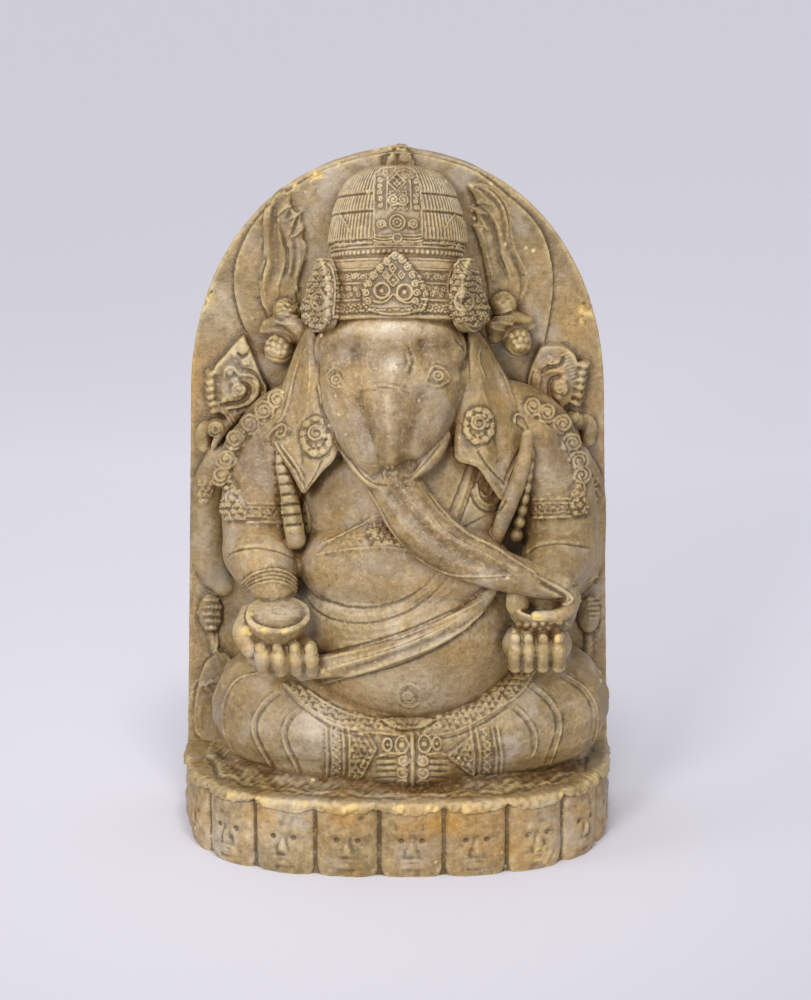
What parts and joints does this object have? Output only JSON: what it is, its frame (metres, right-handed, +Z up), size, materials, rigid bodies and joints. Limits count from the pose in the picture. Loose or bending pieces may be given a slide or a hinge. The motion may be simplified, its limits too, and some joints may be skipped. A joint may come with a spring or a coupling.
{
  "type": "seated elephant-headed deity stele on a skull plinth",
  "caption": "Cast stele of a seated, crowned, elephant-headed figure holding two bowls, before an arched slab, on a plinth ringed with skulls.",
  "frame": {"origin": "middle of the underside's box, on the surface that the plinth stands on", "axes": "+Z up, -Y out of the front that the figure faces, +X to the right of someone who faces it"},
  "size_m": [0.2857, 0.1683, 0.45],
  "materials": {
    "cast_stone": "olive-khaki cast stone, waxed to a soft sheen, with brown in its hollows, ochre patches and pale worn edges"
  },
  "bodies": {
    "root": {"ganesha_stele": "cast_stone"}
  },
  "joints": []
}
